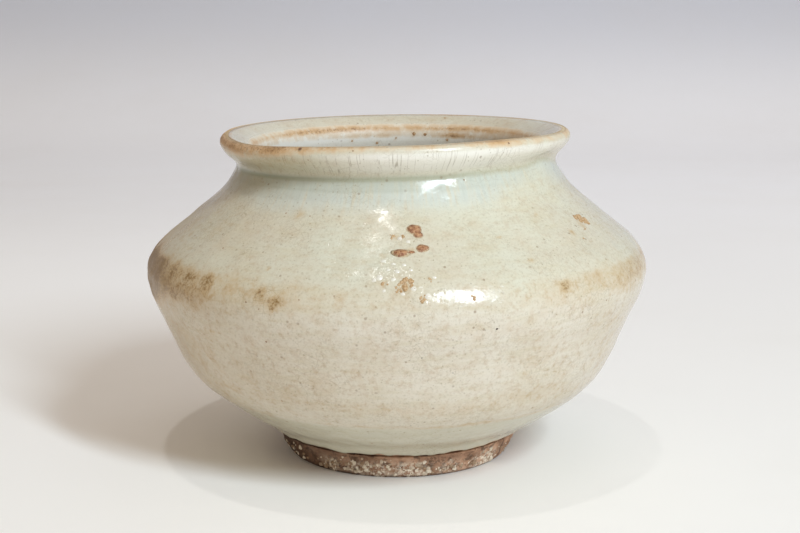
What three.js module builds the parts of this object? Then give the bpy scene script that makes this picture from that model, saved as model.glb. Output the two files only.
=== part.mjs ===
// A squat porcelain jar: two thrown bowls luted rim to rim at the belly, a turned foot ring,
// an everted mouth rim, and a glaze coat that stops short of the foot and of the lip's crest.
// Millimetres, +Z up, origin on the table at the middle of the foot.
import * as THREE from "three";

// Heights, each one counted up from the ring below it
const FOOT_HEIGHT = 8;
const HEEL_RISE = 8.1;
const GIRTH_RISE = 47.7;
const SEAM_RISE = 3.6;
const SLIP_THICKNESS = 1.5;
const SHOULDER_RISE = 25.8;
const THROAT_RISE = 4.2;
const THROAT_UPRIGHT = 1.6;
const DISH_RISE = 3.6;

// Radii of the clay at its foot, belly and neck, and the rings set off from them
const FOOT_RADIUS = 34.6;
const FOOT_FLARE = 5.3;
const HEEL_SPREAD = 10.75;
const GIRTH_RADIUS = 79.5;
const SEAM_SET_BACK = 1.5;
const NECK_RADIUS = 50;
const LIP_OVERHANG = 5.6;
const THROAT_INSET = 0.8;

// Clay thicknesses
const FLOOR_THICKNESS = 7;
const FLOOR_RADIUS = 20;
const FLOOR_DISH = 1.2;
const WALL_THICKNESS = 5;
const NECK_WALL = 4;
const FOOT_TREAD = 5;
const FOOT_BEVEL = 0.8;
const RECESS_TAPER = 1.6;

// Rounds of the mouth rim, at its lip and at the throat's edge
const LIP_ROUND = 2.2;
const THROAT_ROUND = 1;

// Belly joint: how far the slip stands out beyond the bowls, outside and inside,
// and the share of its thickness that the crown of the inner bead takes up
const SEAM_RIDGE = 0.35;
const SEAM_BEAD = 1.1;
const BEAD_CROWN = 0.5;

// Glaze: its thickness, its swollen lower edge, its worn edge at the lip, where it stops,
// and the hairline that keeps the two skins from cutting into the clay
const GLAZE = 0.5;
const GLAZE_ROLL = 0.9;
const GLAZE_WORN = 0.2;
const GLAZE_LINE_RISE = 0.5;
const GLAZE_CLEARANCE = 0.02;

// Slopes of the outline, in degrees up from level
const UPRIGHT = 90;
const FOOT_TOP_SLOPE = 57;
const HEEL_SLOPE = 29.2;
const SEAM_SLOPE = 118;
const NECK_SLOPE = 127;
const FLARE_START_SLOPE = 84;

// Angles round the lip: start of the round, then the glazed front, the bare crest and the glazed back
const LIP_START = -20;
const LIP_FRONT = 92;
const LIP_CREST = 32;
const LIP_BACK = 21;

// Fullness of the curves, as shares of the distance they span
const HEEL_REACH = 0.36;
const WALL_REACH = 0.548;
const GIRTH_REACH_BELOW = 0.03;
const GIRTH_REACH_ABOVE = 0.45;
const SEAM_REACH = 0.14;
const NECK_REACH = 0.49;
const FLARE_REACH = 0.4;

// Straight steps that stand for each curve
const ROUND_STEPS = 48;
const HEEL_STEPS = 2;
const WALL_STEPS = 5;
const GIRTH_STEPS = 2;
const SHOULDER_STEPS = 6;
const FLARE_STEPS = 3;
const LIP_STEPS = 3;
const INNER_SHOULDER_STEPS = 4;
const HALVINGS = 40;

const heelZ = FOOT_HEIGHT + HEEL_RISE;
const girthZ = heelZ + GIRTH_RISE;
const seamZ = girthZ + SEAM_RISE;
const slipTopZ = seamZ + SLIP_THICKNESS;
const neckZ = slipTopZ + SHOULDER_RISE;
const throatZ = neckZ + THROAT_RISE;
const throatTopZ = throatZ + THROAT_UPRIGHT + THROAT_ROUND;
const lipZ = throatTopZ + DISH_RISE;
const floorZ = FOOT_HEIGHT + FLOOR_THICKNESS;

// Outline points are (radius, height)
const point = (radius, height) => new THREE.Vector2(radius, height);

function heading(degrees) {
  const angle = THREE.MathUtils.degToRad(degrees);
  return point(Math.cos(angle), Math.sin(angle));
}

// A curve that leaves its start and reaches its end at given slopes
function sweep(start, startSlope, startReach, end, endSlope, endReach) {
  const span = start.distanceTo(end);
  const leave = start.clone().addScaledVector(heading(startSlope), startReach * span);
  const arrive = end.clone().addScaledVector(heading(endSlope), -endReach * span);
  return new THREE.CubicBezierCurve(start, leave, arrive, end);
}

// Points of a curve from one parameter to another, both ends included
function stretch(curve, from, to, steps) {
  return Array.from({ length: steps + 1 }, (_, i) => curve.getPoint(from + ((to - from) * i) / steps));
}

// The parameter at which a rising curve passes a height
function paramAtHeight(curve, height) {
  let low = 0;
  let high = 1;
  for (let i = 0; i < HALVINGS; i += 1) {
    const middle = (low + high) / 2;
    if (curve.getPoint(middle).y < height) low = middle;
    else high = middle;
  }
  return (low + high) / 2;
}

// Joins stretches end to end, dropping each shared point
function chain(...runs) {
  return runs.reduce((whole, run) => whole.concat(run.slice(1)));
}

// Shifts an outline to its left by a depth for each point, with mitred corners
function shifted(outline, depthAt) {
  const normals = outline.slice(1).map((p, i) => {
    const along = p.clone().sub(outline[i]).normalize();
    return point(-along.y, along.x);
  });
  return outline.map((p, i) => {
    const before = normals[Math.max(i - 1, 0)];
    const after = normals[Math.min(i, normals.length - 1)];
    const middle = before.clone().add(after).normalize();
    return p.clone().addScaledVector(middle, depthAt(i) / middle.dot(before));
  });
}

function reversed(outline) {
  return outline.slice().reverse();
}

// The part of a rising outline above a height, cut cleanly there
function above(outline, height) {
  const first = outline.findIndex((p) => p.y > height);
  if (first === 0) return outline;
  const [low, high] = [outline[first - 1], outline[first]];
  const cut = low.clone().lerp(high, (height - low.y) / (high.y - low.y));
  return [cut, ...outline.slice(first)];
}

// Outer outline of the clay, from the foot up to the lip
const footJoin = point(FOOT_RADIUS + FOOT_FLARE, FOOT_HEIGHT);
const heel = point(footJoin.x + HEEL_SPREAD, heelZ);
const girth = point(GIRTH_RADIUS, girthZ);
const seamBelow = point(GIRTH_RADIUS - SEAM_SET_BACK, seamZ);
const seamAbove = seamBelow.clone().addScaledVector(
  heading(SEAM_SLOPE),
  SLIP_THICKNESS / heading(SEAM_SLOPE).y,
);
const neck = point(NECK_RADIUS, neckZ);

// The wall leaves the foot in a hollow heel, then swells out to the girth
const heelCurve = sweep(footJoin, FOOT_TOP_SLOPE, HEEL_REACH, heel, HEEL_SLOPE, HEEL_REACH);
const wallCurve = sweep(heel, HEEL_SLOPE, WALL_REACH, girth, UPRIGHT, GIRTH_REACH_BELOW);
const glazeLine = paramAtHeight(heelCurve, FOOT_HEIGHT + GLAZE_LINE_RISE);
const bareWall = stretch(heelCurve, 0, glazeLine, 1);
const glazedHeel = stretch(heelCurve, glazeLine, 1, HEEL_STEPS);
const glazedWall = chain(glazedHeel, wallCurve.getSpacedPoints(WALL_STEPS));
const girthTurn = sweep(girth, UPRIGHT, GIRTH_REACH_ABOVE, seamBelow, SEAM_SLOPE, GIRTH_REACH_ABOVE);
const upperWall = girthTurn.getPoints(GIRTH_STEPS);
const slipRidge = seamBelow.clone().lerp(seamAbove, 0.5).add(point(SEAM_RIDGE, 0));
const slipOuter = [seamBelow, slipRidge, seamAbove];
const shoulderCurve = sweep(seamAbove, SEAM_SLOPE, SEAM_REACH, neck, NECK_SLOPE, NECK_REACH);
const shoulder = shoulderCurve.getPoints(SHOULDER_STEPS);

// The mouth rim: flare, round lip with a bare crest, dished top, upright throat
const lipCentre = point(NECK_RADIUS + LIP_OVERHANG - LIP_ROUND, lipZ - LIP_ROUND);
const onLip = (degrees) => lipCentre.clone().addScaledVector(heading(degrees), LIP_ROUND);
const flareSlope = LIP_START + UPRIGHT;
const flareCurve = sweep(neck, FLARE_START_SLOPE, FLARE_REACH, onLip(LIP_START), flareSlope, FLARE_REACH);
const flare = flareCurve.getPoints(FLARE_STEPS);
const lipArc = Array.from({ length: LIP_STEPS + 1 }, (_, i) =>
  onLip(LIP_START + (LIP_FRONT * i) / LIP_STEPS),
);
const crestInner = LIP_START + LIP_FRONT + LIP_CREST;
const neckInner = point(NECK_RADIUS - NECK_WALL, neckZ);
const throatRadius = neckInner.x - THROAT_INSET;
const roundCut = THROAT_ROUND * (1 - Math.SQRT1_2);
const throat = [
  neckInner,
  point(throatRadius, throatZ),
  point(throatRadius, throatZ + THROAT_UPRIGHT),
  point(throatRadius + roundCut, throatTopZ - roundCut),
  point(throatRadius + THROAT_ROUND, throatTopZ),
];
const rimTop = [...throat, onLip(crestInner + LIP_BACK), onLip(crestInner)];

// Inner outline of the clay, from the middle of the floor up to the neck
const floorFlat = [point(0, floorZ), point(FLOOR_RADIUS, floorZ)];
const wallInside = above(shifted(glazedWall, () => WALL_THICKNESS), floorZ + FLOOR_DISH);
const seamInner = point(seamBelow.x - WALL_THICKNESS, seamZ);
const slipInnerTop = point(seamAbove.x - WALL_THICKNESS, slipTopZ);
const innerWall = [...floorFlat, ...wallInside, seamInner];
const slipMiddleZ = seamZ + SLIP_THICKNESS / 2;
const crownHalf = (BEAD_CROWN * SLIP_THICKNESS) / 2;
const beadRadius = (seamInner.x + slipInnerTop.x) / 2 - SEAM_BEAD;
const slipInner = [
  seamInner,
  point(beadRadius, slipMiddleZ - crownHalf),
  point(beadRadius, slipMiddleZ + crownHalf),
  slipInnerTop,
];
const underShoulder = sweep(slipInnerTop, SEAM_SLOPE, SEAM_REACH, neckInner, NECK_SLOPE, NECK_REACH);
const innerShoulder = underShoulder.getPoints(INNER_SHOULDER_STEPS);

// Turns a closed outline about the jar's upright axis
function turned(name, outline, material) {
  const geometry = new THREE.LatheGeometry(outline, ROUND_STEPS);
  geometry.rotateX(Math.PI / 2);
  const mesh = new THREE.Mesh(geometry, material);
  mesh.name = name;
  return mesh;
}

function closed(outline) {
  return [...outline, outline[0]];
}

function surface(color, roughness) {
  return new THREE.MeshStandardMaterial({ color, roughness, metalness: 0 });
}

function footRing() {
  const treadOuter = FOOT_RADIUS - FOOT_BEVEL;
  const treadInner = treadOuter - FOOT_TREAD;
  const recess = treadInner - FOOT_BEVEL;
  const outline = [
    point(treadInner, 0),
    point(treadOuter, 0),
    point(FOOT_RADIUS, FOOT_BEVEL),
    footJoin,
    point(recess - RECESS_TAPER, FOOT_HEIGHT),
    point(recess, FOOT_BEVEL),
  ];
  return turned("foot_ring", closed(outline), surface(0x7d5a44, 0.95));
}

function lowerBowl() {
  const outer = chain(bareWall, glazedWall, upperWall);
  const outline = [point(0, FOOT_HEIGHT), ...outer, ...reversed(innerWall)];
  return turned("lower_bowl", outline, surface(0xb9a48c, 0.9));
}

function jointSlip() {
  const outline = [...slipOuter, ...reversed(slipInner)];
  return turned("joint_slip", closed(outline), surface(0xa98a66, 0.9));
}

function upperBowl() {
  const outline = [...shoulder, ...reversed(innerShoulder)];
  return turned("upper_bowl", closed(outline), surface(0xbba78f, 0.9));
}

function mouthRim() {
  const outer = chain(flare, lipArc);
  const outline = [...outer, ...reversed(rimTop)];
  return turned("mouth_rim", closed(outline), surface(0xb07a4c, 0.85));
}

// The outer coat swells at its lower edge and thins to the worn lip
function outerGlaze() {
  const clay = chain(glazedWall, upperWall, slipOuter, shoulder, flare, lipArc);
  const last = clay.length - 1;
  const depth = (i) => (i === 0 ? -GLAZE_ROLL : i === last ? -GLAZE_WORN : -GLAZE);
  const seat = shifted(clay, () => -GLAZE_CLEARANCE);
  const outline = [...shifted(clay, depth), ...reversed(seat)];
  return turned("outer_glaze", closed(outline), surface(0xd9d6c4, 0.25));
}

// The lining runs from the middle of the floor to the worn lip
function innerGlaze() {
  const clay = chain(innerWall, slipInner, innerShoulder, rimTop);
  const last = clay.length - 1;
  const depth = (i) => (i === last ? GLAZE_WORN : GLAZE);
  const seat = shifted(clay, () => GLAZE_CLEARANCE);
  const outline = [...seat, ...reversed(shifted(clay, depth))];
  return turned("inner_glaze", outline, surface(0xcfcdb9, 0.3));
}

const jar = new THREE.Group();
jar.name = "porcelain_jar";
jar.add(footRing(), lowerBowl(), jointSlip(), upperBowl(), mouthRim(), outerGlaze(), innerGlaze());

export default jar;
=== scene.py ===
"""Looks of a squat porcelain jar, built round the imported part, in metres and in the part's own frame.

The clay body, the foot ring and the two glaze coats are turned from fine outlines whose sizes come from the
frame. One warp gives every piece the same hand-made lean and wobble, so that they stay seated in each other.
"""
import math
from functools import partial, reduce

import bmesh
import bpy
import numpy as np
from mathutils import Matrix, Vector


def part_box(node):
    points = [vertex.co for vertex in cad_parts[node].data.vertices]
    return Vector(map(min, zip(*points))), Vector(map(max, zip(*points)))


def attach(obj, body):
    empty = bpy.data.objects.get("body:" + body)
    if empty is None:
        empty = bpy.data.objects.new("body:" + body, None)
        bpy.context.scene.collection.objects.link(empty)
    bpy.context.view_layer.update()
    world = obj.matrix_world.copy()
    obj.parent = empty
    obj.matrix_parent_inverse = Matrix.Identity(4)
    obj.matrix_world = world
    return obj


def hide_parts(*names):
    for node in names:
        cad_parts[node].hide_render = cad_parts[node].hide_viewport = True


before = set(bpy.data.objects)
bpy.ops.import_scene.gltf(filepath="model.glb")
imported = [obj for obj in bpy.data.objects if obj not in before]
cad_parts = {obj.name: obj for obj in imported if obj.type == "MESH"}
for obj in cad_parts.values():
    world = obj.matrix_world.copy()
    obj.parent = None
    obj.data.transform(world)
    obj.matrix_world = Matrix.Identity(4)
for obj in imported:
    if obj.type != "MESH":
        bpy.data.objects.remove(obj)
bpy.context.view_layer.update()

MM = 0.001


def extent(node):
    """Top height and greatest radius of a node, in millimetres."""
    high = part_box(node)[1]
    return high.z / MM, high.x / MM


# Sizes in millimetres, from the frame
FOOT_HEIGHT, FOOT_JOIN_RADIUS = extent("foot_ring")
SEAM_Z, GIRTH_RADIUS = extent("lower_bowl")
SLIP_TOP_Z, SEAM_RADIUS = extent("joint_slip")
NECK_Z, SEAM_TOP_RADIUS = extent("upper_bowl")
LIP_Z, LIP_RADIUS = extent("mouth_rim")
FLOOR_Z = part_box("inner_glaze")[0].z / MM

# Sizes in millimetres that set off the other rings from those
GIRTH_Z = SEAM_Z - 3.6
NECK_RADIUS = LIP_RADIUS - 5.6
FOOT_RADIUS = FOOT_JOIN_RADIUS - 3.5
HEEL_RADIUS = FOOT_JOIN_RADIUS + 10.75
HEEL_Z = FOOT_HEIGHT + 8.1
FOOT_BEVEL = 0.8
FOOT_TREAD = 5
RECESS_TAPER = 1.6
WALL_THICKNESS = 5
NECK_WALL = 4
FLOOR_RADIUS = 20
FLOOR_DISH = 1.2
SEAM_RIDGE = 0.35
SEAM_BEAD = 1.1
SEAM_TUCK = 0.55
SPIRAL_PITCH = 6.5
SPIRAL_DEPTH = 0.16
LIP_ROUND = 1.9
DISH_RISE = 3.6
THROAT_INSET = 0.8
THROAT_ROUND = 1
THROAT_UPRIGHT = 1.6
GLAZE = 0.5
GLAZE_ROLL = 0.95
GLAZE_WORN = 0.12
WORN_TAPER = 0.18
GLAZE_CLEARANCE = 0.04
GLAZE_LINE_RISE = 0.5
ROLL_REACH = 1.6
EDGE_FADE = 3
EDGE_LIFT = 0.9
SIDE_EDGE_LIFT = 1.3

# Camera, fitted to the photograph, whose frame is 800 by 533 pixels
CAMERA_PLACE = np.array((0.0010, -0.4599, 0.1483))
CAMERA_TILT = math.radians(79.12)
CAMERA_LENS = 64.33
SENSOR_WIDTH = 36
PICTURE_WIDTH = 800
PICTURE_HEIGHT = 533

# Marks on the jar by their pixel in the photograph, with their size in millimetres, or for blisters
# their width, height and turn in degrees
IRON_BLISTERS = {
    "upper": (414.5, 229.8, 4.9, 5.0, 20),
    "upper_end": (418, 234.8, 3.2, 3.4, 60),
    "right": (422.5, 248.3, 4.6, 3.9, 8),
    "left": (401, 253.3, 5.4, 3.8, -4),
    "left_tail": (410.5, 252.3, 3.2, 1.5, 10),
}
OCHRE_BLISTERS = {
    "small": (391.7, 236, 2.4, 2.4, 30),
    "smaller": (402.5, 236.5, 2.6, 1.8, -10),
    "seam": (406.7, 283.3, 3.8, 3.6, 15),
    "seam_drop": (398.5, 289, 2.2, 3.0, 0),
    "seam_left": (384.5, 284.2, 2.0, 2.0, 0),
    "seam_right_drop": (430.8, 279.2, 1.3, 2.0, -20),
    "low_drop": (422.8, 297, 1.7, 3.2, 5),
    "right_seam_drop": (474.2, 295.5, 1.6, 2.6, 15),
    "scar": (582, 219.5, 7.0, 4.8, -28),
    "scar_end": (585, 229, 2.4, 1.4, -40),
    "scar_drop": (583.5, 238.3, 1.8, 1.3, -20),
}
LINING_SPECKS = {
    "left": (352, 141, 1.5),
    "dark": (377, 143, 1.6),
    "middle": (396, 138, 1.3),
    "throat": (414, 134, 1.7),
    "throat_right": (425, 134.5, 1.4),
    "right": (447, 140, 1.6),
    "dish": (445, 118, 1.7),
}
GLAZE_BEADS = (
    (383.5, 261, 2.0), (393.5, 264, 1.8), (397, 271.5, 2.2), (388, 270, 1.6),
    (379.5, 277.5, 2.6), (374, 280, 1.8), (393.5, 279.5, 2.0), (414, 289, 2.2),
    (428, 296.5, 2.4), (434.5, 277.5, 1.6), (400, 238.5, 2.2), (408, 241.5, 1.8),
    (404, 265, 1.7), (411, 270, 1.5), (384, 291, 1.5), (403, 294, 1.7),
)
PITTED_PIXELS = ((388, 262), (396, 272), (386, 278), (412, 286), (428, 297))
PINHOLES = {
    "belly": (497, 329, 1.3),
    "middle": (422, 358, 0.8),
    "lower": (453, 373, 0.8),
    "foot": (411, 426, 0.7),
}
SPECKS = {
    "left_shoulder": (195, 235.5, 1.0),
    "left_lower": (200, 246, 0.9),
    "left_inner": (223, 248, 1.0),
    "neck_left": (263, 182, 0.9),
    "shoulder": (286, 213, 0.9),
    "shoulder_right": (310, 216, 0.8),
    "shoulder_pale": (323, 216, 0.7),
    "rim": (300, 149, 1.3),
    "rim_line": (308, 160, 0.7),
    "rim_small": (353, 151, 0.6),
    "rim_right": (509, 143, 0.9),
    "neck_red": (464, 180, 1.0),
    "neck_right": (494, 190, 0.6),
    "seam_red": (299, 300, 1.0),
    "seam_left": (246, 302, 0.8),
    "seam_far": (334, 296, 0.7),
    "left_cluster": (259, 309, 0.8),
    "left_body": (207, 314, 0.7),
    "left_dark": (189, 327, 0.8),
    "right_red": (606, 300, 0.9),
    "right_shoulder": (618, 242, 0.7),
    "chip": (266, 342, 1.1),
    "chip_tail": (257, 356, 0.7),
    "left_low": (251, 371, 0.9),
    "low_crack": (282, 401, 1.0),
    "base": (372, 443, 0.9),
}
OCHRE_BLOTS = {
    "left_edge": (188, 277, 2.6),
    "left": (207, 281, 3.0),
    "left_upper": (268, 269, 1.6),
    "left_tan": (260, 293, 2.6),
    "left_low": (277, 301, 3.2),
    "left_low_tail": (271, 308, 1.8),
    "cluster_left": (384, 284, 1.6),
    "cluster": (406, 285, 3.0),
    "cluster_right": (431, 279, 1.3),
    "cluster_low": (423, 298, 1.5),
    "cluster_side": (383, 256, 1.6),
    "highlight": (475, 297, 1.5),
    "blister": (412, 251, 2.6),
    "small_blister": (396, 237, 2.2),
    "scar": (581, 224, 3.6),
    "scar_low": (573, 233, 2.6),
    "shoulder": (536, 214, 1.6),
    "shoulder_low": (531, 260, 2.0),
    "shoulder_middle": (499, 237, 1.5),
    "right_seam": (566, 285, 3.2),
    "left_body": (213, 332, 1.8),
    "left_cloud": (300, 215, 3.0),
}

# Seeds of the random fields
GLAZE_SEED = 11
EDGE_SEED = 17
FOOT_SEED = 23
GRIT_SEED = 29
LUMP_SEED = 31
BEAD_SEED = 37


def colour(code):
    """A colour with alpha from a hex code, in the linear light that shaders work in."""
    channels = [int(code[i:i + 2], 16) / 255 for i in (1, 3, 5)]
    return [c / 12.92 if c <= 0.04045 else ((c + 0.055) / 1.055) ** 2.4 for c in channels] + [1.0]


def smooth(value, low, high):
    """A soft step from 0 at low to 1 at high."""
    share = np.clip((value - low) / (high - low), 0, 1)
    return share * share * (3 - 2 * share)


def between(value, rise_low, rise_high, fall_low, fall_high):
    """A soft step up, and down again further on."""
    return smooth(value, rise_low, rise_high) * (1 - smooth(value, fall_low, fall_high))


def lobe(value, middle, width):
    """A soft bump of height 1 about middle."""
    return np.exp(-(((value - middle) / width) ** 2))


def bearings(points):
    """Degrees round the axis from the side of the camera, to the right."""
    return np.degrees(np.arctan2(points[..., 0], -points[..., 1]))


def waves(points, length, seed, count=28):
    """A smooth random field over points, about -1 to 1, with swells of about that length."""
    random = np.random.default_rng(seed)
    ways = random.normal(size=(count, 3))
    ways /= np.linalg.norm(ways, axis=1)[:, None]
    ways *= (2 * math.pi / length) * random.uniform(0.6, 1.4, (count, 1))
    phases = random.uniform(0, 2 * math.pi, count)
    return np.sin(points @ ways.T + phases).sum(-1) / math.sqrt(2 * count)


# Outlines, as arrays of (radius, height) points in millimetres
CURVE_STEPS = 80


def heading(degrees):
    angle = math.radians(degrees)
    return np.array((math.cos(angle), math.sin(angle)))


def sweep(start, start_slope, start_reach, end, end_slope, end_reach):
    """A curve that leaves its start and reaches its end at given slopes, in degrees up from level."""
    start, end = np.array(start, float), np.array(end, float)
    span = np.linalg.norm(end - start)
    leave = start + heading(start_slope) * start_reach * span
    arrive = end - heading(end_slope) * end_reach * span
    t = np.linspace(0, 1, CURVE_STEPS)[:, None]
    return (1 - t) ** 3 * start + 3 * (1 - t) ** 2 * t * leave + 3 * (1 - t) * t**2 * arrive + t**3 * end


def chain(*runs):
    """Stretches joined end to end, each shared point kept once."""
    return np.vstack([np.array(runs[0], float)] + [np.array(run, float)[1:] for run in runs[1:]])


def travel(points):
    """Distance along an outline at each of its points."""
    return np.concatenate(([0], np.cumsum(np.linalg.norm(np.diff(points, axis=0), axis=1))))


def spaced(points, spacing):
    """The same outline with even steps of about that spacing."""
    points = np.array(points, float)
    along = travel(points)
    even = np.linspace(0, along[-1], max(3, round(along[-1] / spacing) + 1))
    return np.column_stack([np.interp(even, along, points[:, k]) for k in (0, 1)])


def soften(points, rounds):
    """The same outline with its corners eased and its ends kept."""
    points = points.copy()
    for _ in range(rounds):
        points[1:-1] = points[1:-1] / 2 + (points[:-2] + points[2:]) / 4
    return points


def tangents(points):
    along = np.gradient(points, axis=0)
    return along / np.linalg.norm(along, axis=1)[:, None]


def left_normals(points):
    along = tangents(points)
    return np.column_stack((-along[:, 1], along[:, 0]))


def shifted(points, depth):
    """The outline moved to its left by a depth, one for all points or one for each."""
    return points + left_normals(points) * np.reshape(depth, (-1, 1))


def closed(points):
    return np.vstack((points, points[:1]))


# Outer outline of the clay, from the foot up to the lip
foot_join = (FOOT_JOIN_RADIUS, FOOT_HEIGHT)
girth = (GIRTH_RADIUS, GIRTH_Z)
seam_below = (SEAM_RADIUS, SEAM_Z)
seam_above = (SEAM_TOP_RADIUS, SLIP_TOP_Z)
neck = (NECK_RADIUS, NECK_Z)
lip_centre = np.array((LIP_RADIUS - LIP_ROUND, LIP_Z - LIP_ROUND))

heel = (HEEL_RADIUS, HEEL_Z)
wall = chain(sweep(foot_join, 57, 0.36, heel, 29.2, 0.36), sweep(heel, 29.2, 0.548, girth, 90, 0.03))
turn = sweep(girth, 90, 0.45, seam_below, 118, 0.45)
ridge = ((SEAM_RADIUS + SEAM_TOP_RADIUS) / 2 + SEAM_RIDGE, (SEAM_Z + SLIP_TOP_Z) / 2)
slip_outer = (seam_below, ridge, seam_above)
shoulder = sweep(seam_above, 118, 0.14, neck, 127, 0.49)


def lip_arc(start, end, steps=9):
    return np.array([lip_centre + heading(angle) * LIP_ROUND for angle in np.linspace(start, end, steps)])


lip_front = lip_arc(-20, 72)
lip_crest = lip_arc(72, 104)
lip_back = lip_arc(104, 125)
flare = sweep(neck, 84, 0.4, lip_front[0], 70, 0.4)

# Inner outline of the clay, from the middle of the floor up to the back of the lip
glazed_wall = wall[wall[:, 1] > FOOT_HEIGHT + GLAZE_LINE_RISE]
inner_wall = shifted(glazed_wall, WALL_THICKNESS)
inner_wall = inner_wall[inner_wall[:, 1] > FLOOR_Z + FLOOR_DISH]
floor_flat = ((0, FLOOR_Z), (FLOOR_RADIUS, FLOOR_Z))
seam_inner = (SEAM_RADIUS - WALL_THICKNESS, SEAM_Z)
slip_inner_top = (SEAM_TOP_RADIUS - WALL_THICKNESS, SLIP_TOP_Z)
bead = ((seam_inner[0] + slip_inner_top[0]) / 2 - SEAM_BEAD, (SEAM_Z + SLIP_TOP_Z) / 2)
neck_inner = (NECK_RADIUS - NECK_WALL, NECK_Z)
inner_shoulder = sweep(slip_inner_top, 118, 0.14, neck_inner, 127, 0.49)
throat_radius = neck_inner[0] - THROAT_INSET
throat_top = LIP_Z - DISH_RISE
throat = (
    neck_inner,
    (throat_radius, throat_top - THROAT_ROUND - THROAT_UPRIGHT),
    (throat_radius, throat_top - THROAT_ROUND),
    (throat_radius + THROAT_ROUND, throat_top),
    lip_back[-1],
)
rim_inside = chain(throat, lip_back[::-1])
floor_and_wall = np.vstack((floor_flat, inner_wall, (seam_inner,)))
inside = chain(floor_and_wall, (seam_inner, bead, slip_inner_top), inner_shoulder)


def tucked(points):
    """An outline of the clay drawn in a little behind the seam, where the glaze rounds it off."""
    points = np.array(points, float)
    points[:, 0] -= SEAM_TUCK * lobe(points[:, 1], SEAM_Z, 6)
    return points


# Departures of the thrown form from the true turned one, in millimetres: (height, reach, amount)
RADIAL_SETS = (
    (14, 4, 0.3),
    (20, 5, -0.8),
    (26, 6, 0.5),
    (44, 10, -1.2),
    (58, 8, 0.7),
    (76, 7, -1.15),
    (87, 5, -1.15),
)
SIDE_SETS = ((0, 9, 0.4), (20, 8, 0.7), (46, 15, -0.4), (73, 7, 0.4))
RIM_SET = -0.7
RIM_TILT = 0.0115
WOBBLE = 0.3
# Rises and dips of the rim and the neck round the jar: (bearing, reach in degrees, amount)
RIM_SWINGS = ((-55, 28, -1.3), (33, 22, 0.4))
NECK_SWINGS = ((5, 16, 0.4), (36, 18, 1.0), (62, 12, 2.4))


def lobes(value, sets):
    """The sum of soft bumps, each given as (middle, reach, amount)."""
    return sum(amount * lobe(value, middle, reach) for middle, reach, amount in sets)


def warp(points):
    """Swelling, sway, tilt and wobble, the same for every piece."""
    x, y, z = np.moveaxis(points, -1, 0)
    angle = np.arctan2(y, x)
    bearing = bearings(points)
    radius = np.hypot(x, y)
    off_axis = np.clip(radius / NECK_RADIUS, 0, 1)
    wobble = np.cos(2 * angle - 1.4) + 0.6 * np.cos(3 * angle + 0.4) + 0.3 * np.cos(5 * angle + 1.2)
    swell = WOBBLE * smooth(z, FOOT_HEIGHT, GIRTH_Z) * wobble + lobes(z, RADIAL_SETS)
    scale = (radius + off_axis * swell) / np.maximum(radius, MM)
    sway = lobes(z, SIDE_SETS) + RIM_SET * smooth(z, 88, 100)
    tilt = RIM_TILT * x * smooth(z, GIRTH_Z, LIP_Z)
    rim_lift = lobes(bearing, RIM_SWINGS) * smooth(z, NECK_Z - 4, LIP_Z - 2)
    neck_lift = lobes(bearing, NECK_SWINGS) * lobe(z, NECK_Z, 4.5)
    return np.stack((x * scale + sway, y * scale, z + tilt + rim_lift + neck_lift), axis=-1)


def add(name, data):
    """A new object of the scene for a mesh, a light or a camera."""
    made = bpy.data.objects.new(name, data)
    bpy.context.scene.collection.objects.link(made)
    return made


def mesh_object(name, points, faces, material):
    """A smooth-shaded mesh object from points in millimetres."""
    mesh = bpy.data.meshes.new(name)
    mesh.from_pydata((np.reshape(points, (-1, 3)) * MM).tolist(), [], faces)
    mesh.shade_smooth()
    mesh.materials.append(material)
    return add(name, mesh)


def paint(made, **layers):
    """Named values, one for all points of a mesh or one for each, which its material reads."""
    for name, values in layers.items():
        layer = made.data.attributes.new(name, "FLOAT", "POINT")
        layer.data.foreach_set("value", np.full(len(made.data.vertices), values, np.float32))


def turned_faces(poles, segments, loops):
    """Faces between the rings of a turned mesh. A ring on the axis is a single point."""
    first = np.concatenate(([0], np.cumsum(np.where(poles, 1, segments))))
    faces = []
    for low in range(len(poles) - (0 if loops else 1)):
        high = (low + 1) % len(poles)
        for j in range(segments):
            k = (j + 1) % segments
            sides = ((low, j), (low, k), (high, k), (high, j))
            corners = [int(first[ring] + (0 if poles[ring] else side)) for ring, side in sides]
            faces.append(list(dict.fromkeys(corners)))
    return faces


def turned(name, outline, segments, material, shape=None):
    """A piece turned from an outline that starts and ends on the axis, or closes on itself.

    shape takes the unwarped ring points, as rings by segments by 3, and gives them back displaced.
    """
    loops = np.allclose(outline[0], outline[-1])
    rings = outline[:-1] if loops else outline
    poles = rings[:, 0] < MM
    angles = np.arange(segments) * 2 * math.pi / segments
    radius, height = rings[:, :1], rings[:, 1:]
    grid = np.stack((radius * np.cos(angles), radius * np.sin(angles), height + 0 * angles), axis=-1)
    if shape:
        grid = shape(grid)
    keep = np.ones(grid.shape[:2], bool)
    keep[poles, 1:] = False
    made = mesh_object(name, warp(grid)[keep], turned_faces(poles, segments, loops), material)
    return made, grid[keep]


def spread(vectors, grid):
    """Outline vectors (radial, upward) turned to each point of a grid."""
    radius = np.maximum(np.hypot(grid[..., 0], grid[..., 1]), MM)
    across = vectors[:, 0][:, None] / radius
    upward = vectors[:, 1][:, None] + 0 * radius
    return np.stack((grid[..., 0] * across, grid[..., 1] * across, upward), axis=-1)


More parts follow.
